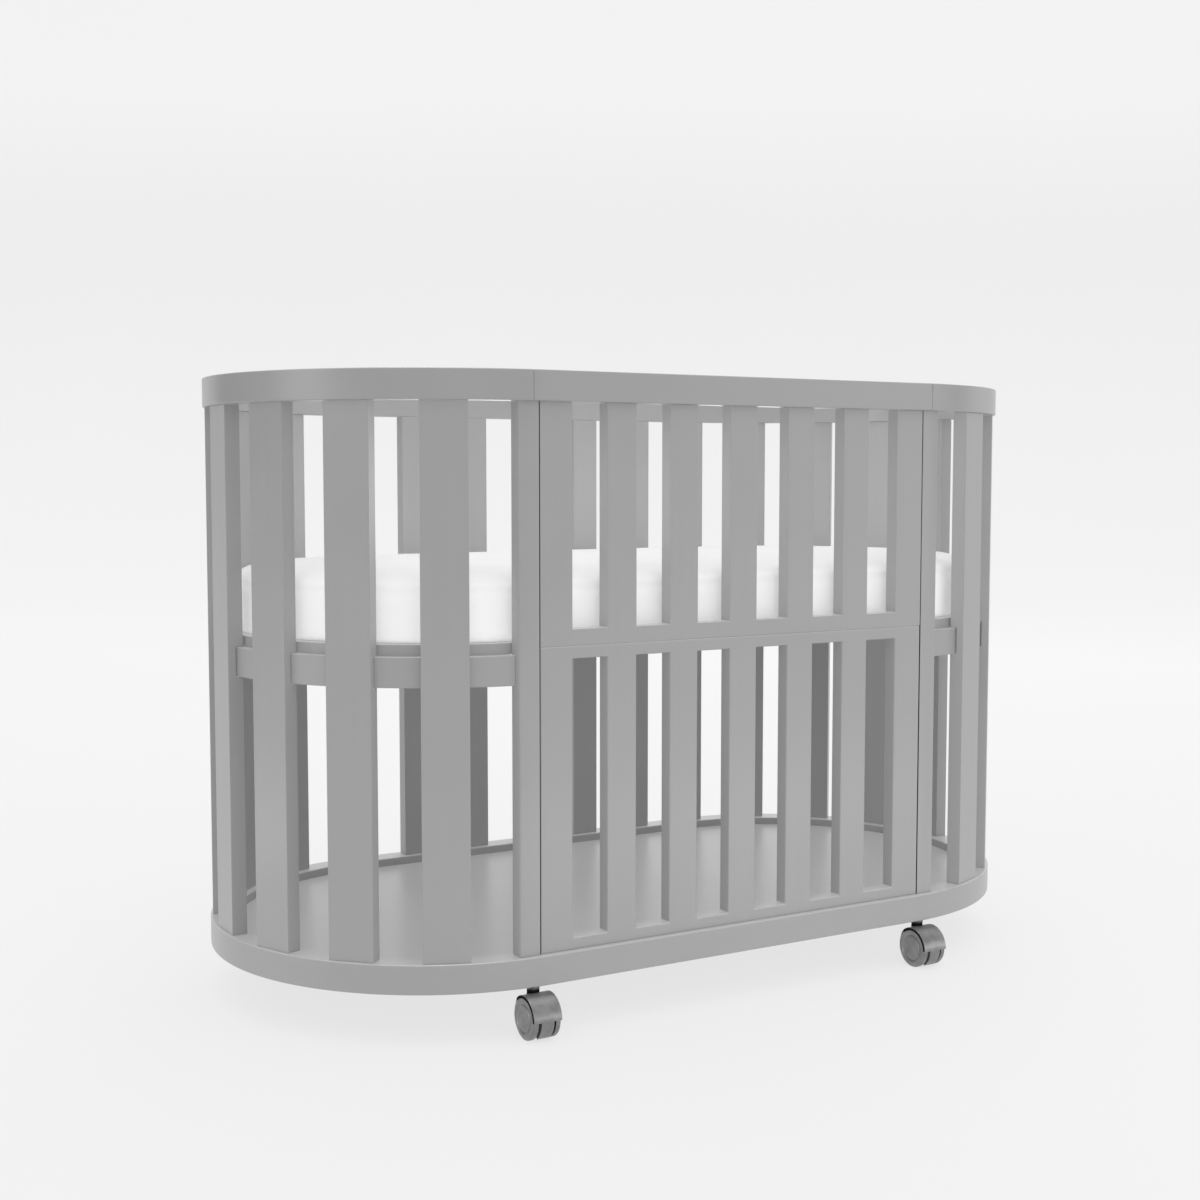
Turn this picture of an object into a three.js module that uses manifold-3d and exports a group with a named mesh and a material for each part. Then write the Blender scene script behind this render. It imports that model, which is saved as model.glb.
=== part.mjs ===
// Oval baby crib on four twin-wheel casters, in millimetres, +Z up, front at -Y.
// A straight middle and two half-round ends: a base ring and a top rail of the same
// plan, joined by flat slats and posts. The front is a two-part slatted panel whose
// upper half lifts off together with its piece of the top rail.

import * as THREE from "three";
import { mergeVertices } from "three/addons/utils/BufferGeometryUtils.js";
import Module from "manifold-3d";

// ---- driving dimensions ----

const GAP = 0.3; // left between pieces that touch

// plan: a stadium with its arc centres at X = -ARC_X and +ARC_X
const ARC_X = 314;
const OUTER_R = 334;
const ARC_STEPS = 28; // straight steps in each half circle

const BASE_Z = [69, 108.5];
const BASE_R = 297;
const LEDGE_R = 286; // carries the shelf
const SHELF_Z = [84, 96.2];

const RAIL_Z = [834.5, 874.5];
const RAIL_R = 304;
const RAIL_JOINT_X = 333.5;
const EDGE = 1.2; // eased edges of the rail and the base

// boards between the base ring and the top rail
const BOARD_Z = [BASE_Z[1] + GAP, RAIL_Z[0] - GAP];
const PANEL_Y = [304, 326]; // near and far face of the straight sides
const SEAM_X = 321.96; // joint between the front panel and its posts
const POST_X = 352.3;
const POST_EDGE = 3.5;

const WINDOW_W = 53.5;
const UPRIGHT_W = 45.2;
const WINDOWS = 6;
const SPLIT_Z = 515.4;
const UPPER_SILL_Z = 537.2;
const LOWER_WINDOW_Z = [125.2, 498.3];

const END_SLATS = 7;
const END_SLAT_STEP = 22.1; // degrees
const END_SLAT_R = [308.2, 329.5];
const END_SLAT_W = 62.5;

const BACK_SLATS = 5;
const BACK_SLAT_W = 46.4;
const BACK_SLAT_STEP = 107.1;
const BACK_POST_X = 298.1;

// mattress and what carries it
const BAND_R = [296, 318];
const BAND_Z = [466.2, 506.2];
const CLEAT = { x: 300, y: [284, 303.7], z: [499, 506.2] };
const BED_R = 306.5; // at the round ends
const BED_HALF_W = 302;
const BED_Z = [506.5, 521];
const MATTRESS_R = 300;
const MATTRESS_Z = [521.3, 608.5];
const MATTRESS_EDGE = 22;

const PIN = { x: 297.6, r: 4, z: [495, 528] };

// casters
const CASTER = { x: 330, y: 318.6, trail: 12 };
const WHEEL_R = 29;
const WHEEL_X = [10, 18]; // inner and outer face from the caster's middle
const HUB_R = 18;
const HOOD_R = [29.7, 31];
const WEB_X = 8.5;
const STEM = { r: 4, collarR: 8.7, z: [45, 94.7], collarZ: [60.9, 68.7] };
const BOSS = { r: 9.2, z: [34, 60.5] };
const AXLE = { r: 3, x: 15.2 };
const BORE_GAP = 0.3;

// ---- materials ----

const standard = (color, roughness, metalness) =>
  new THREE.MeshStandardMaterial({ color, roughness, metalness });
const paint = () => standard(0x9d9d9c, 0.55, 0);
const cotton = () => standard(0xf2f2f1, 0.95, 0);
const gunmetal = () => standard(0x77787a, 0.4, 0.6);
const darkSteel = () => standard(0x3c3d3f, 0.4, 0.9);

// ---- solids ----

const wasm = await Module();
wasm.setup();

function toSolid(geometry) {
  const bare = geometry.clone();
  bare.deleteAttribute("normal");
  bare.deleteAttribute("uv");
  const merged = mergeVertices(bare, 1e-4);
  return new wasm.Manifold(
    new wasm.Mesh({
      numProp: 3,
      vertProperties: new Float32Array(merged.getAttribute("position").array),
      triVerts: new Uint32Array(merged.index.array),
    }),
  );
}

function toGeometry(solid) {
  const mesh = solid.getMesh();
  const geometry = new THREE.BufferGeometry();
  geometry.setAttribute("position", new THREE.BufferAttribute(mesh.vertProperties, 3));
  geometry.setIndex(new THREE.BufferAttribute(mesh.triVerts, 1));
  const flat = geometry.toNonIndexed();
  flat.computeVertexNormals();
  return flat;
}

const cut = (geometry, tools) =>
  toGeometry(tools.reduce((solid, tool) => solid.subtract(toSolid(tool)), toSolid(geometry)));
const join = (parts) => toGeometry(parts.map(toSolid).reduce((a, b) => a.add(b)));
const keep = (geometry, tool) => toGeometry(toSolid(geometry).intersect(toSolid(tool)));

// box between two corners
function box([x0, x1], [y0, y1], [z0, z1]) {
  const geometry = new THREE.BoxGeometry(x1 - x0, y1 - y0, z1 - z0);
  return geometry.translate((x0 + x1) / 2, (y0 + y1) / 2, (z0 + z1) / 2);
}

// outline in the plane across an axis, carried along it from a to b
function prism(outline, axis, [a, b]) {
  const shape = new THREE.Shape(outline.map(([u, v]) => new THREE.Vector2(u, v)));
  const geometry = new THREE.ExtrudeGeometry(shape, { depth: b - a, bevelEnabled: false });
  const turn = new THREE.Matrix4();
  if (axis === "x") turn.set(0, 0, 1, a, 1, 0, 0, 0, 0, 1, 0, 0, 0, 0, 0, 1);
  if (axis === "y") turn.set(1, 0, 0, 0, 0, 0, -1, b, 0, 1, 0, 0, 0, 0, 0, 1);
  if (axis === "z") turn.makeTranslation(0, 0, a);
  return geometry.applyMatrix4(turn);
}

function cylinder(r, axis, [a, b], sides = 24) {
  const outline = [];
  for (let i = 0; i < sides; i += 1) {
    const t = (2 * Math.PI * (i + 0.5)) / sides;
    outline.push([r * Math.cos(t), r * Math.sin(t)]);
  }
  return prism(outline, axis, [a, b]);
}

// points of the stadium plan, offset r from the line between the arc centres
function stadium(r) {
  const points = [];
  for (const side of [1, -1]) {
    for (let i = 0; i <= ARC_STEPS; i += 1) {
      const t = Math.PI * (i / ARC_STEPS - 0.5);
      points.push([side * (ARC_X + r * Math.cos(t)), side * r * Math.sin(t)]);
    }
  }
  return points;
}

// closed ring: a profile of [r, z] points carried round the stadium
function stadiumRing(profile) {
  const loops = profile.map(([r, z]) => stadium(r).map(([x, y]) => [x, y, z]));
  const steps = loops[0].length;
  const position = [];
  const index = [];
  loops.forEach((loop) => loop.forEach((point) => position.push(...point)));
  for (let j = 0; j < loops.length; j += 1) {
    const k = (j + 1) % loops.length;
    for (let i = 0; i < steps; i += 1) {
      const n = (i + 1) % steps;
      const [a, b, c, d] = [j * steps + i, j * steps + n, k * steps + n, k * steps + i];
      index.push(a, b, c, a, c, d);
    }
  }
  const geometry = new THREE.BufferGeometry();
  geometry.setAttribute("position", new THREE.Float32BufferAttribute(position, 3));
  geometry.setIndex(index);
  return geometry;
}

// ---- scene graph ----

const crib = new THREE.Group();
crib.name = "crib";

function add(parent, name, geometry, material) {
  const mesh = new THREE.Mesh(geometry, material);
  mesh.name = name;
  parent.add(mesh);
  return mesh;
}

function group(parent, name, x, y, turn) {
  const made = new THREE.Group();
  made.name = name;
  made.position.set(x, y, 0);
  made.rotation.z = turn;
  parent.add(made);
  return made;
}

// ---- base ----

const base = group(crib, "base", 0, 0, 0);

const baseRing = stadiumRing([
  [LEDGE_R, BASE_Z[0]],
  [OUTER_R - EDGE, BASE_Z[0]],
  [OUTER_R, BASE_Z[0] + EDGE],
  [OUTER_R, BASE_Z[1] - EDGE],
  [OUTER_R - EDGE, BASE_Z[1]],
  [BASE_R + EDGE, BASE_Z[1]],
  [BASE_R, BASE_Z[1] - EDGE],
  [BASE_R, SHELF_Z[0] - GAP],
  [LEDGE_R, SHELF_Z[0] - GAP],
]);
const corners = [-1, 1].flatMap((sx) => [-1, 1].map((sy) => [sx * CASTER.x, sy * CASTER.y]));
const stemHoles = corners.map(([x, y]) =>
  cylinder(STEM.r + BORE_GAP, "z", [BASE_Z[0] - 1, STEM.z[1] + GAP], 16).translate(x, y, 0),
);
add(base, "base_ring", cut(baseRing, stemHoles), paint());
add(base, "base_shelf", prism(stadium(BASE_R - GAP), "z", SHELF_Z), paint());

// ---- top rail: two round ends, a front and a back piece ----

const rails = group(crib, "top_rail", 0, 0, 0);

const railRing = stadiumRing([
  [RAIL_R, RAIL_Z[0]],
  [OUTER_R - EDGE, RAIL_Z[0]],
  [OUTER_R, RAIL_Z[0] + EDGE],
  [OUTER_R, RAIL_Z[1] - EDGE],
  [OUTER_R - EDGE, RAIL_Z[1]],
  [RAIL_R + EDGE, RAIL_Z[1]],
  [RAIL_R, RAIL_Z[1] - EDGE],
]);
const far = 2 * OUTER_R;
const endX = RAIL_JOINT_X + GAP / 2;
const midX = RAIL_JOINT_X - GAP / 2;
const allZ = [0, 1000];
const railPieces = {
  rail_left: box([-far, -endX], [-far, far], allZ),
  rail_right: box([endX, far], [-far, far], allZ),
  rail_front: box([-midX, midX], [-far, 0], allZ),
  rail_back: box([-midX, midX], [0, far], allZ),
};
for (const [name, piece] of Object.entries(railPieces)) {
  add(rails, name, keep(railRing, piece), paint());
}

// ---- round ends: slats with a notch for the band that carries the mattress base ----

const [slatIn, slatOut] = END_SLAT_R;
const notchR = BAND_R[1] + GAP;
const slatOutline = [
  [slatIn, BOARD_Z[0]],
  [slatOut, BOARD_Z[0]],
  [slatOut, BOARD_Z[1]],
  [slatIn, BOARD_Z[1]],
  [slatIn, BAND_Z[1] + GAP],
  [notchR, BAND_Z[1] + GAP],
  [notchR, BAND_Z[0] - GAP],
  [slatIn, BAND_Z[0] - GAP],
];
const bandClear = POST_X + GAP;

for (const [side, sign] of [["left", -1], ["right", 1]]) {
  const end = group(crib, side + "_end", sign * ARC_X, 0, sign > 0 ? 0 : Math.PI);
  for (let i = 0; i < END_SLATS; i += 1) {
    const turn = THREE.MathUtils.degToRad(END_SLAT_STEP * (i - (END_SLATS - 1) / 2));
    const half = END_SLAT_W / 2;
    const name = "slat_" + side + "_" + (i + 1);
    add(end, name, prism(slatOutline, "y", [-half, half]), paint()).rotation.z = turn;
  }
  const bandRing = stadiumRing([
    [BAND_R[0], BAND_Z[0]],
    [BAND_R[1], BAND_Z[0]],
    [BAND_R[1], BAND_Z[1]],
    [BAND_R[0], BAND_Z[1]],
  ]);
  const half = box([bandClear, far], [-far, far], allZ);
  const band = keep(bandRing, half).translate(-ARC_X, 0, 0);
  add(end, "band_" + side, band, paint());
}

// ---- posts and back slats ----

const sides = group(crib, "straight_sides", 0, 0, 0);
const [panelIn, panelOut] = PANEL_Y;

function post(inner) {
  return [
    [inner, panelIn],
    [POST_X, panelIn],
    [POST_X, panelOut - POST_EDGE],
    [POST_X - POST_EDGE, panelOut],
    [inner, panelOut],
  ];
}
const turned = (outline, sx, sy) => {
  const points = outline.map(([x, y]) => [sx * x, sy * y]);
  return sx * sy < 0 ? points.reverse() : points;
};
for (const [side, sx] of [["left", -1], ["right", 1]]) {
  const front = turned(post(SEAM_X + GAP), sx, -1);
  const back = turned(post(BACK_POST_X), sx, 1);
  add(sides, "post_front_" + side, prism(front, "z", BOARD_Z), paint());
  add(sides, "post_back_" + side, prism(back, "z", BOARD_Z), paint());
}
for (let i = 0; i < BACK_SLATS; i += 1) {
  const x = BACK_SLAT_STEP * (i - (BACK_SLATS - 1) / 2);
  const span = [x - BACK_SLAT_W / 2, x + BACK_SLAT_W / 2];
  add(sides, "back_slat_" + (i + 1), box(span, PANEL_Y, BOARD_Z), paint());
}

// ---- front panel: a fixed lower half and a lift-off upper half on two pins ----

const front = group(crib, "front_panel", 0, 0, 0);
const panelX = SEAM_X - GAP;
const frontY = [-panelOut, -panelIn];

function windowsThrough(zSpan) {
  const pitch = WINDOW_W + UPRIGHT_W;
  const made = [];
  for (let i = 0; i < WINDOWS; i += 1) {
    const x = pitch * (i - (WINDOWS - 1) / 2);
    const span = [x - WINDOW_W / 2, x + WINDOW_W / 2];
    made.push(box(span, [frontY[0] - 1, frontY[1] + 1], zSpan));
  }
  return made;
}
const pinY = -(panelIn + panelOut) / 2;
const pinHoles = [-1, 1].map((sx) =>
  cylinder(PIN.r + BORE_GAP, "z", [PIN.z[0] - GAP, PIN.z[1] + 2], 16)
    .translate(sx * PIN.x, pinY, 0),
);
const lower = box([-panelX, panelX], frontY, [BOARD_Z[0], SPLIT_Z - GAP / 2]);
const upper = box([-panelX, panelX], frontY, [SPLIT_Z + GAP / 2, BOARD_Z[1]]);
const lowerCuts = [...windowsThrough(LOWER_WINDOW_Z), ...pinHoles];
const upperCuts = [...windowsThrough([UPPER_SILL_Z, RAIL_Z[1]]), ...pinHoles];
add(front, "front_lower_panel", cut(lower, lowerCuts), paint());
add(front, "gate_panel", cut(upper, upperCuts), paint());
for (const [side, sx] of [["left", -1], ["right", 1]]) {
  const pin = cylinder(PIN.r, "z", PIN.z, 16).translate(sx * PIN.x, pinY, 0);
  add(front, "gate_pin_" + side, pin, darkSteel());
}

// ---- mattress, its base board and the cleats on the straight sides ----

const bed = group(crib, "bed", 0, 0, 0);
const { clamp } = THREE.MathUtils;
const [cleatIn, cleatOut] = CLEAT.y;
const cleatX = [-CLEAT.x, CLEAT.x];
add(bed, "cleat_front", box(cleatX, [-cleatOut, -cleatIn], CLEAT.z), paint());
add(bed, "cleat_back", box(cleatX, [cleatIn, cleatOut], CLEAT.z), paint());
const bedPlan = stadium(BED_R).map(([x, y]) => [x, clamp(y, -BED_HALF_W, BED_HALF_W)]);
add(bed, "mattress_base", prism(bedPlan, "z", BED_Z), paint());

// rounded slab: rings of the plan, closed by a flat face at the bottom and the top
function mattressShape() {
  const rings = [];
  for (let i = 0; i <= 2; i += 1) {
    const t = (Math.PI / 2) * (i / 2);
    const inset = MATTRESS_EDGE * (1 - Math.sin(t));
    rings.push([MATTRESS_R - inset, MATTRESS_Z[0] + MATTRESS_EDGE * (1 - Math.cos(t))]);
  }
  const middle = MATTRESS_Z[0] + MATTRESS_Z[1];
  const upperHalf = rings.map(([r, z]) => [r, middle - z]).reverse();
  return [...rings, ...upperHalf];
}
const mattress = stadiumRing([...mattressShape(), [120, MATTRESS_Z[1]], [120, MATTRESS_Z[0]]]);
const core = prism(stadium(120), "z", MATTRESS_Z);
add(bed, "mattress", join([mattress, core]), cotton());

// ---- casters: the stem is fixed in the base ring, the rest swivels about it ----

// arc about the axle; the angle runs from the back of the caster over its top to its front, at -Y
function hoodArc(from, to) {
  const points = [];
  for (let angle = from; angle <= to; angle += 12) {
    const t = THREE.MathUtils.degToRad(angle);
    points.push([-CASTER.trail + HOOD_R[1] * Math.cos(t), WHEEL_R + HOOD_R[1] * Math.sin(t)]);
  }
  return points;
}
const hoodOutline = hoodArc(-12, 180);
const webOutline = hoodArc(-60, 240);
const swivelHole = cylinder(STEM.r + BORE_GAP, "z", [STEM.z[0] - GAP, 100], 16);
const axleHole = cylinder(AXLE.r + BORE_GAP, "x", [-20, 20], 16)
  .translate(0, -CASTER.trail, WHEEL_R);
const wheelShells = [-1, 1].map((sx) => {
  const span = sx < 0 ? [-40, -WEB_X] : [WEB_X, 40];
  return cylinder(HOOD_R[0], "x", span, 24).translate(0, -CASTER.trail, WHEEL_R);
});
const housingBody = join([
  prism(hoodOutline, "x", [-WHEEL_X[1], WHEEL_X[1]]),
  prism(webOutline, "x", [-WEB_X, WEB_X]),
  cylinder(BOSS.r, "z", BOSS.z, 20),
]);
const housing = cut(housingBody, [...wheelShells, swivelHole, axleHole]);

function wheelGeometry() {
  const [inner, outer] = WHEEL_X;
  const profile = [
    [0, outer - 2.5],
    [AXLE.r + BORE_GAP, outer - 2.5],
    [AXLE.r + BORE_GAP, inner],
    [WHEEL_R, inner],
    [WHEEL_R, outer - 2],
    [WHEEL_R - 0.7, outer - 0.6],
    [WHEEL_R - 2.4, outer],
    [HUB_R + 0.5, outer],
    [HUB_R, outer + 0.7],
    [0, outer + 0.7],
  ];
  const points = profile.map(([r, x]) => new THREE.Vector2(r, x));
  // the lathe turns about its own Y, which becomes the wheel's axis along X
  return new THREE.LatheGeometry(points, 24).rotateZ(-Math.PI / 2);
}

const places = [["front", -1], ["back", 1]];
for (const [end, sx] of [["left", -1], ["right", 1]]) {
  for (const [row, sy] of places) {
    const name = "caster_" + row + "_" + end;
    const turn = sy < 0 ? 0 : Math.PI;
    const caster = group(crib, name, sx * CASTER.x, sy * CASTER.y, turn);
    const stem = join([
      cylinder(STEM.r, "z", STEM.z, 16),
      cylinder(STEM.collarR, "z", STEM.collarZ, 20),
    ]);
    add(caster, name + "_stem", stem, darkSteel());
    add(caster, name + "_housing", housing, gunmetal());
    const axle = add(caster, name + "_axle", cylinder(AXLE.r, "x", [-AXLE.x, AXLE.x], 16),
      darkSteel());
    axle.position.set(0, -CASTER.trail, WHEEL_R);
    for (const [hand, hx] of [["a", -1], ["b", 1]]) {
      const wheel = add(caster, name + "_wheel_" + hand, wheelGeometry(), gunmetal());
      wheel.position.set(0, -CASTER.trail, WHEEL_R);
      wheel.rotation.z = hx < 0 ? Math.PI : 0;
    }
  }
}

export default crib;
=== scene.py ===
"""Oval baby crib on casters, painted grey, with a white mattress. Metres, +Z up, front at -Y."""
import math

import bpy
import bmesh
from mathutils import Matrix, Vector


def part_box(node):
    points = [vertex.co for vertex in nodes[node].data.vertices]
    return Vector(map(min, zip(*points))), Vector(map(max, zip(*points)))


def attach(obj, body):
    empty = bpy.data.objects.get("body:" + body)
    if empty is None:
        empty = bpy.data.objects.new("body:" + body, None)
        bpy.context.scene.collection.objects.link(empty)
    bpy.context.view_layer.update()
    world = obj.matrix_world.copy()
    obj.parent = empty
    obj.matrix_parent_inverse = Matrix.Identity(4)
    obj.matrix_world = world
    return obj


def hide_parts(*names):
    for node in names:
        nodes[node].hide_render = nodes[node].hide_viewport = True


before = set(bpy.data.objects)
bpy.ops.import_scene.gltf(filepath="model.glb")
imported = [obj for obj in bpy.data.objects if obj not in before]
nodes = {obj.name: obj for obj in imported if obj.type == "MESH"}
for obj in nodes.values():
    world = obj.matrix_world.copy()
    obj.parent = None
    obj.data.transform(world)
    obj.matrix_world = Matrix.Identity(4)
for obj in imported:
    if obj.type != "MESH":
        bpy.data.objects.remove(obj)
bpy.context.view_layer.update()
scene = bpy.context.scene

ARC_X = 0.314              # centres of the round ends
RING_IN = 0.286            # radii about those centres
RAIL_IN, RAIL_OUT = 0.304, 0.334
BAND_IN, BAND_OUT = 0.296, 0.318
MATTRESS_R = 0.300
SLAT_STEP = 22.1           # degrees between the slats of a round end
GAP = 0.0003               # clearance between neighbours that touch
EASE = 0.0012              # eased edges of the boards
SEAM = 0.0004              # set back from the seams beside the front panel
VIEW_TURN = 30.36          # degrees the camera stands to the left of the front
VIEW_DROP = 4.203          # degrees it looks down


# ---------------------------------------------------------------- camera
def make_camera():
    data = bpy.data.cameras.new("camera")
    data.lens = 50.69
    data.sensor_width = 36
    camera = bpy.data.objects.new("camera", data)
    scene.collection.objects.link(camera)
    camera.location = (-1.3598, -2.2516, 0.7383)
    camera.rotation_euler = (math.radians(90 - VIEW_DROP), 0, math.radians(-VIEW_TURN))
    scene.camera = camera


make_camera()


# ---------------------------------------------------------------- materials
class Nodes:
    """A small helper that builds a material's node tree."""

    def __init__(self, name):
        self.material = bpy.data.materials.new(name)
        self.material.use_nodes = True
        self.tree = self.material.node_tree
        self.tree.nodes.clear()
        self.shader = self.new("ShaderNodeBsdfPrincipled")
        output = self.new("ShaderNodeOutputMaterial")
        self.join(self.shader.outputs[0], output.inputs[0])
        self.place = self.new("ShaderNodeTexCoord").outputs["Object"]

    def new(self, kind, **values):
        node = self.tree.nodes.new(kind)
        for key, value in values.items():
            setattr(node, key, value)
        return node

    def join(self, a, b):
        self.tree.links.new(a, b)

    def set(self, **values):
        for key, value in values.items():
            self.shader.inputs[key.replace("_", " ")].default_value = value

    def scaled(self, x, y, z):
        mapping = self.new("ShaderNodeMapping")
        mapping.inputs["Scale"].default_value = (x, y, z)
        self.join(self.place, mapping.inputs["Vector"])
        return mapping.outputs[0]

    def noise(self, scale, detail=3.0, at=None, rough=0.5):
        node = self.new("ShaderNodeTexNoise")
        node.inputs["Scale"].default_value = scale
        node.inputs["Detail"].default_value = detail
        node.inputs["Roughness"].default_value = rough
        self.join(at or self.place, node.inputs["Vector"])
        return node.outputs[0]

    def ramp(self, value, stops):
        node = self.new("ShaderNodeValToRGB")
        first, last = stops[0], stops[-1]
        node.color_ramp.elements[0].position, node.color_ramp.elements[0].color = first
        node.color_ramp.elements[1].position, node.color_ramp.elements[1].color = last
        for position, colour in stops[1:-1]:
            node.color_ramp.elements.new(position).color = colour
        self.join(value, node.inputs[0])
        return node.outputs[0]

    def maths(self, operation, a, b):
        node = self.new("ShaderNodeMath", operation=operation)
        for socket, value in zip(node.inputs, (a, b)):
            if isinstance(value, (int, float)):
                socket.default_value = value
            else:
                self.join(value, socket)
        return node.outputs[0]

    def bump(self, *layers):
        normal = None
        for height, strength, distance in layers:
            node = self.new("ShaderNodeBump")
            node.inputs["Strength"].default_value = strength
            node.inputs["Distance"].default_value = distance
            self.join(height, node.inputs["Height"])
            if normal:
                self.join(normal, node.inputs["Normal"])
            normal = node.outputs[0]
        self.join(normal, self.shader.inputs["Normal"])


def grey(value, tint=0.0):
    return (value, value, value * (1 - tint), 1)


def span(low, high):
    """Two colour stops across the middle of a noise."""
    return [(0.3, low), (0.7, high)]


def paint(name, value, along):
    """Satin paint on wood: faint cloudiness, a fine roller texture and a trace of the grain."""
    n = Nodes(name)
    stretch = {"x": (2, 60, 60), "y": (60, 2, 60), "z": (60, 60, 2)}[along]
    grain = n.noise(1.0, 6, n.scaled(*stretch), 0.6)
    cloud = n.noise(7, 2)
    mixed = n.maths("ADD", n.maths("MULTIPLY", cloud, 0.6), n.maths("MULTIPLY", grain, 0.4))
    n.join(n.ramp(mixed, span(grey(value * 0.975), grey(value * 1.025))),
           n.shader.inputs["Base Color"])
    n.join(n.ramp(cloud, span(grey(0.29), grey(0.34))), n.shader.inputs["Roughness"])
    n.bump((grain, 0.10, 0.0004), (n.noise(900, 2), 0.05, 0.0003))
    return n.material


def cotton():
    """Knitted white cotton cover with a fine weave and soft creases."""
    n = Nodes("mattress_cover")
    weave = []
    for turn in (0.6, -0.6):
        mapping = n.new("ShaderNodeMapping")
        mapping.inputs["Rotation"].default_value = (turn, turn, turn)
        n.join(n.place, mapping.inputs["Vector"])
        wave = n.new("ShaderNodeTexWave", wave_type="BANDS")
        wave.inputs["Scale"].default_value = 260
        wave.inputs["Distortion"].default_value = 1.2
        n.join(mapping.outputs[0], wave.inputs["Vector"])
        weave.append(wave.outputs["Fac"])
    threads = n.maths("MULTIPLY", *weave)
    cloud = n.noise(5, 3)
    n.join(n.ramp(cloud, span((0.94, 0.94, 0.937, 1), (0.98, 0.98, 0.977, 1))),
           n.shader.inputs["Base Color"])
    n.join(n.ramp(threads, span(grey(0.85), grey(0.95))), n.shader.inputs["Roughness"])
    n.set(Sheen_Weight=0.25, Sheen_Roughness=0.5, Specular_IOR_Level=0.2)
    n.bump((n.noise(9, 3), 0.15, 0.004), (threads, 0.25, 0.0004))
    return n.material


def gunmetal(name, value, rough, metal, shine=0.5):
    """Moulded plastic with a metallic lacquer: mottled, with a fine grain."""
    n = Nodes(name)
    mottle = n.noise(75, 4, rough=0.6)
    n.join(n.ramp(mottle, span(grey(value * 0.82), grey(value * 1.18))),
           n.shader.inputs["Base Color"])
    n.join(n.ramp(n.noise(140, 3), span(grey(rough - 0.05), grey(rough + 0.05))),
           n.shader.inputs["Roughness"])
    n.set(Metallic=metal, Specular_IOR_Level=shine)
    n.bump((n.noise(2200, 2), 0.08, 0.0002))
    return n.material


GREY = 0.335
UPRIGHT = paint("paint_upright", GREY, "z")
LENGTHWISE = paint("paint_lengthwise", GREY, "x")
COTTON = cotton()
LACQUER = gunmetal("caster_lacquer", 0.22, 0.34, 0.75)
STEEL = gunmetal("dark_steel", 0.13, 0.30, 0.8)
# near black with almost no shine: the wheel cores, and the black strips and rings that are painted
# shade in the front seams and under the caster hoods
RUBBER_AND_SHADE = gunmetal("black_rubber_and_painted_shade", 0.004, 0.65, 0.0, shine=0.05)


# ---------------------------------------------------------------- mesh building
def piece(name, verts, faces, material, body, replaces, slot="grey_paint", ease=EASE, steps=3):
    """One mesh piece that rides on a body and stands for CAD nodes."""
    mesh = bpy.data.meshes.new(name)
    mesh.from_pydata(verts, [], faces)
    work = bmesh.new()
    work.from_mesh(mesh)
    bmesh.ops.remove_doubles(work, verts=work.verts, dist=1e-6)
    bmesh.ops.recalc_face_normals(work, faces=work.faces)
    for face in work.faces:
        face.smooth = True
    work.to_mesh(mesh)
    work.free()
    mesh.materials.append(material)
    obj = bpy.data.objects.new(name, mesh)
    scene.collection.objects.link(obj)
    if ease:
        bevel = obj.modifiers.new("ease", "BEVEL")
        bevel.width = ease
        bevel.segments = steps
        bevel.limit_method = "ANGLE"
        bevel.angle_limit = math.radians(35)
        bevel.harden_normals = True
    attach(obj, body)
    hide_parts(*replaces)
    return obj


def lattice(xs, ys, zs, solid=lambda i, j, k: True):
    """Outer faces of the solid cells between the grid lines."""
    count = (len(xs) - 1, len(ys) - 1, len(zs) - 1)
    verts, faces = [], []

    def filled(c):
        return all(0 <= c[a] < count[a] for a in range(3)) and solid(*c)

    for i in range(count[0]):
        for j in range(count[1]):
            for k in range(count[2]):
                if not filled((i, j, k)):
                    continue
                for axis in range(3):
                    for step in (0, 1):
                        beside = [i, j, k]
                        beside[axis] += 2 * step - 1
                        if filled(tuple(beside)):
                            continue
                        quad = []
                        for a, b in ((0, 0), (1, 0), (1, 1), (0, 1)):
                            at = [i, j, k]
                            at[axis] += step
                            at[(axis + 1) % 3] += a
                            at[(axis + 2) % 3] += b
                            quad.append((xs[at[0]], ys[at[1]], zs[at[2]]))
                        faces.append(list(range(len(verts), len(verts) + 4)))
                        verts += quad
    return verts, faces


def turned(verts, angle, x=0.0, y=0.0):
    c, s = math.cos(angle), math.sin(angle)
    return [(x + c * p[0] - s * p[1], y + s * p[0] + c * p[1], p[2]) for p in verts]


def sweep(loops, closed=False):
    """Faces between a row of outlines with the same number of points; open rows get end caps."""
    size = len(loops[0])
    verts = [p for loop in loops for p in loop]
    faces = []
    rows = len(loops)
    for i in range(rows if closed else rows - 1):
        for j in range(size):
            a, b = i * size + j, i * size + (j + 1) % size
            c, d = (i + 1) % rows * size + (j + 1) % size, (i + 1) % rows * size + j
            faces.append((a, b, c, d))
    if not closed:
        faces.append(tuple(range(size)))
        faces.append(tuple(reversed(range((rows - 1) * size, rows * size))))
    return verts, faces


def round_end(profile, cut_x, sign, steps=72):
    """Half ring about an arc centre, cut square at cut_x from the middle of the crib."""
    loops = []
    for i in range(steps + 1):
        t = 2 * i / steps - 1
        loop = []
        for r, z in profile:
            angle = t * math.acos((cut_x - ARC_X) / r)
            loop.append((sign * (ARC_X + r * math.cos(angle)), sign * r * math.sin(angle), z))
        loops.append(loop)
    return sweep(loops)


def straight(profile, cut_x, sign, steps=5):
    """Straight stretch of the ring with the first degrees of both arcs."""
    stations = [(-1, 1 - i / steps) for i in range(steps)]
    stations += [(-1, 0), (1, 0)] + [(1, (i + 1) / steps) for i in range(steps)]
    loops = []
    for side, t in stations:
        loop = []
        for r, z in profile:
            angle = t * math.asin((cut_x - ARC_X) / r)
            loop.append((side * (ARC_X + r * math.sin(angle)), sign * r * math.cos(angle), z))
        loops.append(loop)
    return sweep(loops)


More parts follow.
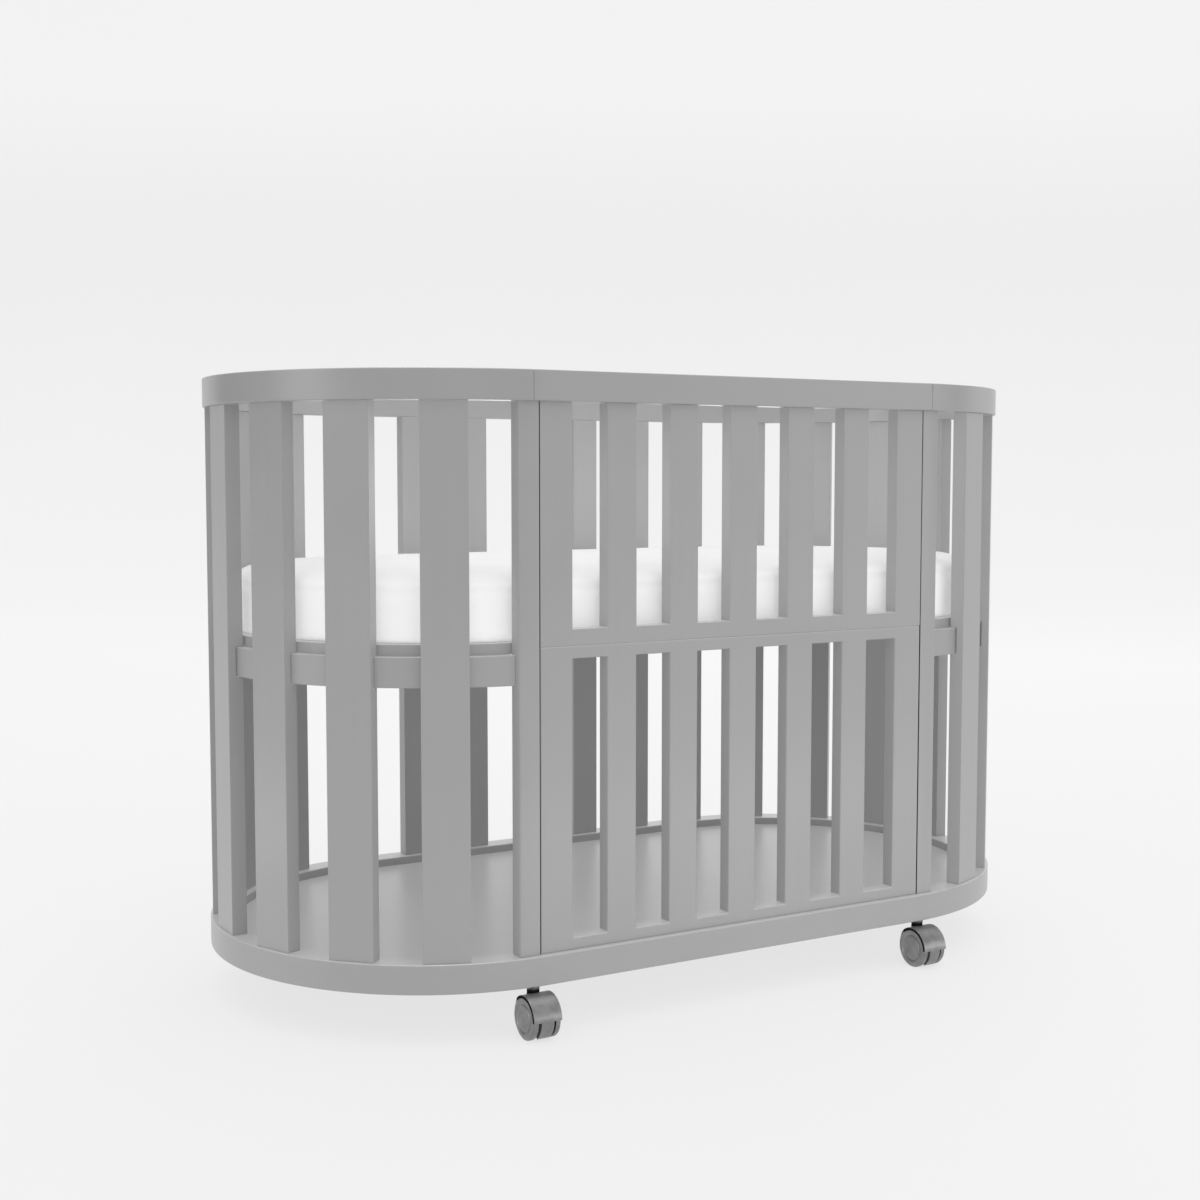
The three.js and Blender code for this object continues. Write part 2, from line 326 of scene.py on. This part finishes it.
def whole_ring(profile, steps=72):
    loops = []
    for side in (1, -1):
        for i in range(steps + 1):
            angle = math.pi * (i / steps - 0.5)
            loops.append([(side * (ARC_X + r * math.cos(angle)), side * r * math.sin(angle), z)
                          for r, z in profile])
    return sweep(loops, closed=True)


def corners(node):
    low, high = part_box(node)
    return [[low[a], high[a]] for a in range(3)]


# ---------------------------------------------------------------- painted wood
def build_rings():
    (_, outer), (z0, z1) = corners("base_ring")[1:]
    shelf_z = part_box("base_shelf")[0].z - GAP
    shelf_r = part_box("base_shelf")[1].y + GAP
    verts, faces = whole_ring([(RING_IN, z0), (outer, z0), (outer, z1), (shelf_r, z1),
                               (shelf_r, shelf_z), (RING_IN, shelf_z)])
    piece("ring_of_base", verts, faces, LENGTHWISE, "crib_frame", ["base_ring"], ease=0.0015)

    z0, z1 = corners("rail_front")[2]
    profile = [(RAIL_IN, z0), (RAIL_OUT, z0), (RAIL_OUT, z1), (RAIL_IN, z1)]
    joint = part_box("rail_front")[1].x
    for name, sign in (("left", -1), ("right", 1)):
        verts, faces = round_end(profile, joint + GAP, sign)
        piece("rail_end_" + name, verts, faces, LENGTHWISE, "crib_frame", ["rail_" + name],
              ease=0.0015)
    for name, sign, body in (("front", -1, "gate"), ("back", 1, "crib_frame")):
        verts, faces = straight(profile, joint, sign)
        piece("rail_straight_" + name, verts, faces, LENGTHWISE, body, ["rail_" + name],
              ease=0.0015)

    z0, z1 = corners("band_left")[2]
    profile = [(BAND_IN, z0), (BAND_OUT, z0), (BAND_OUT, z1), (BAND_IN, z1)]
    cut = -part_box("band_left")[1].x
    for name, sign in (("left", -1), ("right", 1)):
        verts, faces = round_end(profile, cut, sign)
        piece("carrier_" + name, verts, faces, LENGTHWISE, "crib_frame", ["band_" + name],
              ease=0.0008)


def build_end_slats():
    """Seven flat boards round each end, let over the band on their inner face."""
    x0, x1 = corners("slat_right_4")[0]
    y0, y1 = corners("slat_right_4")[1]
    z0, z1 = corners("slat_right_4")[2]
    band = corners("band_right")[2]
    xs = [x0 - ARC_X, BAND_OUT + GAP, x1 - ARC_X]
    zs = [z0, band[0] - GAP, band[1] + GAP, z1]
    verts, faces = lattice(xs, [y0, y1], zs, lambda i, j, k: not (i == 0 and k == 1))
    for name, sign in (("left", -1), ("right", 1)):
        for i in range(7):
            angle = math.radians(SLAT_STEP * (i - 3)) + (0 if sign > 0 else math.pi)
            piece(f"board_{name}_{i + 1}", turned(verts, angle, sign * ARC_X), faces, UPRIGHT,
                  "crib_frame", [f"slat_{name}_{i + 1}"], ease=0.0009)


def build_posts():
    """Posts with a rounded outer corner, black strips in the seams beside the front panel as
    painted shadow, the back slats.
    """
    corner, chamfer = 0.0035, 0.001
    z0, z1 = corners("post_front_left")[2]
    for row, sy in (("front", -1), ("back", 1)):
        for end, sx in (("left", -1), ("right", 1)):
            (x0, x1), (y0, y1) = corners(f"post_{row}_{end}")[:2]
            inner, outer = sorted((abs(x0), abs(x1)))
            inner += SEAM if row == "front" else 0
            near, far = sorted((abs(y0), abs(y1)))
            plan = [(inner, near), (outer, near), (outer, far - corner),
                    (outer - chamfer, far - chamfer), (outer - corner, far), (inner, far)]
            loops = [[(sx * x, sy * y, z) for x, y in plan] for z in (z0, z1)]
            verts, faces = sweep(loops)
            piece(f"upright_{row}_{end}", verts, faces, UPRIGHT, "crib_frame",
                  [f"post_{row}_{end}"], ease=0.0009)
            if row == "front":
                # black strips just behind the front face in the seams: painted shadow of the gap
                # between post and panel
                sides = sorted((sx * (inner - 2 * SEAM - 0.0001), sx * (inner - 0.0001)))
                painted_shadow_strip = lattice(sides, (-far + 0.0005, -far + 0.0028), (z0, z1))
                piece("painted_seam_shadow_" + end, *painted_shadow_strip, RUBBER_AND_SHADE, "crib_frame", [f"post_{row}_{end}"],
                      ease=0)
    for i in range(5):
        verts, faces = lattice(*corners(f"back_slat_{i + 1}"))
        piece(f"board_back_{i + 1}", verts, faces, UPRIGHT, "crib_frame", [f"back_slat_{i + 1}"],
              ease=0.0009)


def build_front():
    """Two plates with six windows each; the upper one is open at the top."""
    width, upright = 0.0535, 0.0452            # of a window, and of the board between two
    upper_sill = 0.5372
    lower_sill, lower_head = 0.1252, 0.4983
    edges = []
    for i in range(6):
        middle = (i - 2.5) * (width + upright)
        edges += [middle - width / 2, middle + width / 2]
    for name, node, body, ease in (("lower", "front_lower_panel", "crib_frame", 0.0018),
                                   ("upper", "gate_panel", "gate", 0.0007)):
        (x0, x1), ys, (z0, z1) = corners(node)
        xs = [x0 + SEAM] + edges + [x1 - SEAM]
        zs = [z0, lower_sill, lower_head, z1] if name == "lower" else [z0, upper_sill, z1]
        verts, faces = lattice(xs, ys, zs, lambda i, j, k: not (i % 2 and k == 1))
        piece("front_" + name, verts, faces, UPRIGHT, body, [node], ease=ease)


def repaint(node, material):
    """A CAD node that stays as it is, with a finished material."""
    obj = nodes[node]
    if not obj.material_slots:
        obj.data.materials.append(material)
    for slot in obj.material_slots:
        slot.material = material


build_rings()
build_end_slats()
build_posts()
build_front()
for name in ("base_shelf", "mattress_base", "cleat_front", "cleat_back"):
    repaint(name, LENGTHWISE)
for name in ("gate_pin_left", "gate_pin_right"):
    repaint(name, STEEL)


# ---------------------------------------------------------------- mattress
def rounded_slab(radius, z0, z1, edge, steps=48):
    """Stadium slab with rounded edges, closed by rows that run in to the middle line."""
    half = []
    for i in range(5):
        t = math.pi / 2 * i / 4
        half.append((radius - edge * (1 - math.sin(t)), z0 + edge * (1 - math.cos(t))))
    rows = half + [(r, z0 + z1 - z) for r, z in reversed(half)]
    loops = []
    for r, z in rows:
        loop = []
        for side in (1, -1):
            for i in range(steps + 1):
                angle = math.pi * (i / steps - 0.5)
                loop.append((side * (ARC_X + r * math.cos(angle)), side * r * math.sin(angle), z))
        loops.append(loop)
    return sweep(loops)


def apply_modifiers(obj):
    """Bakes the modifiers into the mesh."""
    graph = bpy.context.evaluated_depsgraph_get()
    made = bpy.data.meshes.new_from_object(obj.evaluated_get(graph))
    obj.modifiers.clear()
    obj.data = made


def beyond(place):
    """Vector from the middle line of the oval to a point, in plan."""
    return Vector((max(abs(place.x) - ARC_X, 0), place.y))


def inflate(obj, floor, frames=20, most=0.007):
    """Swells the cover over its filling with cloth pressure; the underside stays flat."""
    rest = [v.co.copy() for v in obj.data.vertices]
    cloth = obj.modifiers.new("cloth", "CLOTH")
    settings = cloth.settings
    settings.quality = 5
    settings.mass = 0.3
    settings.tension_stiffness = 25
    settings.compression_stiffness = 25
    settings.bending_stiffness = 2
    settings.use_pressure = True
    settings.uniform_pressure_force = 4
    settings.effector_weights.gravity = 0
    cloth.point_cache.frame_start = 1
    cloth.point_cache.frame_end = frames
    for step in range(1, frames + 1):
        scene.frame_set(step)
    apply_modifiers(obj)
    scene.frame_set(1)
    for vertex, start in zip(obj.data.vertices, rest):
        move = vertex.co - start
        if move.length > most:
            move *= most / move.length
        place = start + move
        place.z = max(place.z, floor)
        across = beyond(place)
        limit = MATTRESS_R + 0.0015
        if across.length > limit:
            across *= limit / across.length
            place.y = across.y
            if abs(place.x) > ARC_X:
                place.x = math.copysign(ARC_X + across.x, place.x)
        vertex.co = place


def build_mattress():
    low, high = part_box("mattress")
    z0, z1 = low.z + GAP, high.z - 0.001
    verts, faces = rounded_slab(MATTRESS_R - 0.001, z0, z1, 0.013)
    obj = piece("foam_mattress", verts, faces, COTTON, "mattress", ["mattress"],
                "mattress_cover", ease=0)
    remesh = obj.modifiers.new("remesh", "REMESH")
    remesh.mode = "VOXEL"
    remesh.voxel_size = 0.008
    apply_modifiers(obj)
    inflate(obj, z0)
    for polygon in obj.data.polygons:
        polygon.use_smooth = True
    smooth = obj.modifiers.new("smooth", "SMOOTH")
    smooth.factor = 0.5
    smooth.iterations = 4
    obj.modifiers.new("fine", "SUBSURF").levels = 1
    obj.modifiers["fine"].render_levels = 1
    apply_modifiers(obj)
    square_foot(obj, z0)
    fold(obj, z1 - 0.020)
    return obj


def fold(obj, level, depth=0.0018, width=0.006):
    """Presses a shallow fold into the side, where the cover is sewn to the top sheet."""
    for vertex in obj.data.vertices:
        place = vertex.co
        across = beyond(place)
        if across.length < MATTRESS_R - 0.02:
            continue
        across *= 1 - depth * math.exp(-((place.z - level) / width) ** 2) / across.length
        place.y = across.y
        if abs(place.x) > ARC_X:
            place.x = math.copysign(ARC_X + across.x, place.x)


def square_foot(obj, bottom, reach=0.022, power=5):
    """Squares the lower edge of the mattress, where it presses on the board."""
    places = [v.co for v in obj.data.vertices]
    floor = sorted(p.z for p in places)[len(places) // 20]
    rim = max(beyond(p).length for p in places if 0 < p.z - floor - reach < 0.01)
    for place in places:
        across = beyond(place)
        out = (across.length - rim + reach) / reach
        down = (floor + reach - place.z) / reach
        if down <= 0:
            continue
        if out > 0:
            grow = math.hypot(out, down) * (out ** power + down ** power) ** (-1 / power)
            down *= grow
            across *= (rim - reach + min(out * grow, 1) * reach) / across.length
            place.y = across.y
            if abs(place.x) > ARC_X:
                place.x = math.copysign(ARC_X + across.x, place.x)
        down = min(down, 1)
        place.z = floor + reach - down * reach + (bottom - floor) * down


mattress = build_mattress()


# ---------------------------------------------------------------- casters
WHEEL_R = 0.029
TRAIL = 0.012              # from the stem back to the axle
CASTER_X, CASTER_Y = 0.330, 0.3186


def lathe(profile, steps=72):
    """Solid of revolution about the X axis from (radius, x) points, open at the axis or not."""
    loops = []
    for i in range(steps):
        angle = 2 * math.pi * i / steps
        loops.append([(x, r * math.cos(angle), r * math.sin(angle)) for r, x in profile])
    return sweep(loops, closed=True)


def upright_lathe(profile, x=0.0, y=0.0, steps=48):
    verts, faces = lathe(profile, steps)
    return [(x + p[1], y + p[2], p[0]) for p in verts], faces


def arc_slab(r0, r1, x0, x1, start, stop, steps, taper=0.0):
    """Piece of a thick ring about the axle; it may grow narrower towards the back."""
    loops = []
    for i in range(steps + 1):
        degrees = start + (stop - start) * i / steps
        a = math.radians(degrees)
        less = taper * min(max((60 - degrees) / 40, 0), 1)
        low, high = (x0 + less, x1 - less) if x0 < 0 < x1 else (x0, x1)
        loops.append([(x, r * math.cos(a), r * math.sin(a))
                      for r, x in ((r0, low), (r1, low), (r1, high), (r0, high))])
    return sweep(loops)


def merged(*parts):
    verts, faces = [], []
    for more_verts, more_faces in parts:
        faces += [tuple(i + len(verts) for i in face) for face in more_faces]
        verts += more_verts
    return verts, faces


def moved(part, x, y, z):
    return [(p[0] + x, p[1] + y, p[2] + z) for p in part[0]], part[1]


def build_caster(row, end):
    """Twin-wheel caster: hood, cover and boss, black rings and neck as painted shade, two wheels
    and the stem.
    """
    name = f"caster_{row}_{end}"
    sx, sy = (-1 if end == "left" else 1), (-1 if row == "front" else 1)
    x, y = sx * CASTER_X, sy * CASTER_Y
    turn = 0 if sy < 0 else math.pi

    def placed(part):
        return turned(part[0], turn, x, y), part[1]

    def at_axle(part, side):
        """Mirrored to one side of the fork and moved to the axle."""
        return [(side * p[0], p[1] - TRAIL, p[2] + WHEEL_R) for p in part[0]], part[1]

    # hood over both wheels, the web between them and the boss round the stem
    hood = moved(arc_slab(0.0297, 0.0304, -0.0206, 0.0206, -8, 180, 48, 0.003),
                 0, -TRAIL, WHEEL_R)
    cover = moved(arc_slab(0.004, 0.0299, -0.0094, 0.0094, -58, 238, 60), 0, -TRAIL, WHEEL_R)
    boss = upright_lathe([(0.0044, 0.036), (0.0088, 0.036), (0.0088, 0.0568), (0.0084, 0.0572),
                          (0.0044, 0.0572)])
    piece("hood_" + name, *placed(merged(hood, cover, boss)), LACQUER, name,
          [name + "_housing"], "gunmetal", ease=0.0004, steps=2)
    # black rings that close the hood round the wheels, and the black neck of the boss: painted
    # shade for the dark gaps under the hood and below the stem collar
    painted_shade_rings = [upright_lathe([(0.0044, 0.0574), (0.0084, 0.0574), (0.0084, 0.0628),
                           (0.0044, 0.0628)])]
    for side in (-1, 1):
        painted_shade_rings.append(at_axle(arc_slab(0.0263, 0.0296, 0.0207, 0.0210, 50, 179, 44), side))
    piece("painted_shade_rings_" + name, *placed(merged(*painted_shade_rings)), RUBBER_AND_SHADE, name, [name + "_housing"],
          "gunmetal", ease=0)

    wheel = [(0.0033, 0.0103), (0.0100, 0.0103), (0.0100, 0.0127), (0.0284, 0.0127),
             (0.0290, 0.0132), (0.0290, 0.0184), (0.0287, 0.0191), (0.0270, 0.0195),
             (0.0268, 0.0197), (0.0266, 0.0203), (0.0260, 0.0206), (0.0187, 0.0208),
             (0.0185, 0.0203), (0.0181, 0.0203), (0.0179, 0.0209), (0.0160, 0.0211),
             (0.0080, 0.0212), (0.0, 0.0212), (0.0, 0.0155), (0.0033, 0.0155)]
    core = [(0.0105, 0.0119), (0.0282, 0.0119), (0.0282, 0.0126), (0.0105, 0.0126)]
    for hand, side in (("a", -1), ("b", 1)):
        body = f"{name}_wheel_{hand}"
        piece(f"wheel_{name}_{hand}", *placed(at_axle(lathe(wheel), side)), LACQUER, body,
              [body], "gunmetal", ease=0)
        piece(f"core_{name}_{hand}", *placed(at_axle(lathe(core), side)), RUBBER_AND_SHADE, body,
              [body], "gunmetal", ease=0)

    z0, z1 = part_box(name + "_stem")[0].z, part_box(name + "_stem")[1].z
    stem = upright_lathe([(0.0, z0), (0.004, z0), (0.004, 0.0630), (0.0084, 0.0630),
                          (0.0087, 0.0634), (0.0087, 0.0682), (0.0082, 0.0687),
                          (0.004, 0.0687), (0.004, z1), (0.0, z1)])
    piece("stem_" + name, *placed(stem), STEEL, "crib_frame", [name + "_stem"], "dark_steel",
          ease=0)
    repaint(name + "_axle", STEEL)


for row in ("front", "back"):
    for end in ("left", "right"):
        build_caster(row, end)


# ---------------------------------------------------------------- studio
def stage_mesh(name, verts, faces, material):
    """A smooth piece of the stage, which isn't part of the crib."""
    mesh = bpy.data.meshes.new(name)
    mesh.from_pydata(verts, [], faces)
    for polygon in mesh.polygons:
        polygon.use_smooth = True
    mesh.materials.append(material)
    obj = bpy.data.objects.new(name, mesh)
    scene.collection.objects.link(obj)
    return obj


def build_backdrop():
    """Pale floor that curves up into a wall behind the crib and glows a little by itself."""
    n = Nodes("backdrop")
    n.join(n.ramp(n.noise(0.6, 2), span(grey(0.222), grey(0.226))), n.shader.inputs["Base Color"])
    height = n.new("ShaderNodeSeparateXYZ")
    n.join(n.place, height.inputs[0])
    rise = n.maths("MULTIPLY", height.outputs["Z"], 0.3125)
    n.join(n.ramp(rise, [(0.08, grey(0.768)), (1.0, grey(1.0))]),
           n.shader.inputs["Emission Color"])
    n.set(Roughness=0.9, Specular_IOR_Level=0.1, Emission_Strength=0.69)

    front, bend_start, radius, side, top = -9, 6, 2.5, 12, 9
    bend = [(front, 0)]
    for i in range(13):
        t = math.pi / 2 * i / 12
        bend.append((bend_start + radius * math.sin(t), radius - radius * math.cos(t)))
    bend.append((bend_start + radius, top))
    verts = [(x, y, z) for y, z in bend for x in (-side, side)]
    verts = turned(verts, math.radians(-VIEW_TURN))
    faces = [(2 * i, 2 * i + 1, 2 * i + 3, 2 * i + 2) for i in range(len(bend) - 1)]
    backdrop = stage_mesh("backdrop", verts, faces, n.material)

    # the same wall all the way round, for the other views only: it neither lights nor shades
    verts = []
    steps, gap, row = 52, 50, len(bend) - 1
    for i in range(steps + 1):
        angle = math.radians(90 - VIEW_TURN + gap + (360 - 2 * gap) * i / steps)
        verts += [(y * math.cos(angle), y * math.sin(angle), z) for y, z in bend[1:]]
    faces = [(i * row + j, i * row + j + 1, (i + 1) * row + j + 1, (i + 1) * row + j)
             for i in range(steps) for j in range(row - 1)]
    surround = stage_mesh("surround", verts, faces, n.material)
    surround.visible_diffuse = surround.visible_glossy = surround.visible_shadow = False
    surround.visible_transmission = surround.visible_volume_scatter = False
    return backdrop


def build_sky():
    """White light that grows towards the zenith and towards the front."""
    world = bpy.data.worlds.new("studio")
    scene.world = world
    world.use_nodes = True
    tree = world.node_tree
    background = tree.nodes["Background"]
    background.inputs[0].default_value = (1, 1, 1, 1)
    parts = tree.nodes.new("ShaderNodeSeparateXYZ")
    tree.links.new(tree.nodes.new("ShaderNodeTexCoord").outputs["Generated"], parts.inputs[0])
    glow = []
    for axis, strength in (("Z", 1.0), ("Y", -0.49)):
        scaled = tree.nodes.new("ShaderNodeMath")
        scaled.operation = "MULTIPLY"
        scaled.inputs[1].default_value = strength
        above = tree.nodes.new("ShaderNodeMath")
        above.operation = "MAXIMUM"
        above.inputs[1].default_value = 0
        tree.links.new(parts.outputs[axis], scaled.inputs[0])
        tree.links.new(scaled.outputs[0], above.inputs[0])
        glow.append(above.outputs[0])
    total = tree.nodes.new("ShaderNodeMath")
    total.operation = "ADD"
    tree.links.new(glow[0], total.inputs[0])
    tree.links.new(glow[1], total.inputs[1])
    tree.links.new(total.outputs[0], background.inputs[1])


def lamp(name, kind, place, target, energy):
    data = bpy.data.lights.new(name, kind)
    data.energy = energy
    obj = bpy.data.objects.new(name, data)
    scene.collection.objects.link(obj)
    obj.location = place
    aim = Vector(target) - Vector(place)
    obj.rotation_euler = aim.to_track_quat("-Z", "Y").to_euler()
    return data, obj


def shadowless(data):
    data.use_shadow = False
    data.cycles.cast_shadow = False


def panel(data, width, height):
    data.shape = "RECTANGLE"
    data.size, data.size_y = width, height


def only(obj, state, *things):
    """Lights these things alone, or all but these."""
    group = bpy.data.collections.new(obj.name + "_on")
    for thing in things:
        group.objects.link(thing)
    for link in group.collection_objects:
        link.light_linking.link_state = state
    obj.light_linking.receiver_collection = group


def build_lights(backdrop):
    back, _ = lamp("back_light", "AREA", (3.4, 3.6, 3.0), (0, 0, 0.45), 20)
    panel(back, 2.6, 2.4)
    # white light thrown back by the mattress on the inner faces of the crib
    for side in (-1, 1):
        glow, obj = lamp("inner_glow", "POINT", (side * 0.26, 0, 0.72), (0, 0, 0), 0.7)
        glow.shadow_soft_size = 0.12
        only(obj, "EXCLUDE", mattress, backdrop, nodes["mattress_base"])
    # light thrown back by the floor on the lower parts
    for name, place, target, width, power in (
            ("floor_front", (0.35, -1.15, 0.05), (0.35, 0, 0.10), 1.5, 1.7),
            ("floor_left", (-1.5, 0.25, 0.05), (-0.5, 0.0, 0.15), 0.8, 0.8)):
        bounce, obj = lamp(name, "AREA", place, target, power)
        panel(bounce, width, 0.2)
        shadowless(bounce)
        only(obj, "EXCLUDE", backdrop)
    # broad fills without shadows of their own
    for name, place, strength in (("fill_top", (0, 0, 6), 2.34),
                                  ("fill_left", (-6, 0, 0.9), 0.55),
                                  ("fill_right", (6, 0, 0.9), 0.22),
                                  ("fill_front_right", (4.2, -4.2, 0.9), 0.28),
                                  ("mattress_top", (0, 0, 6), 0.6),
                                  ("mattress_front", (-3.5, -5, 0.6), 0.50)):
        fill, obj = lamp(name, "SUN", place, (0, 0, 0), strength)
        if name == "fill_top":
            only(obj, "EXCLUDE", mattress)
        elif name.startswith("mattress"):
            only(obj, "INCLUDE", mattress)
        fill.angle = 0.5
        shadowless(fill)


build_sky()
build_lights(build_backdrop())
scene.view_settings.view_transform = "Standard"
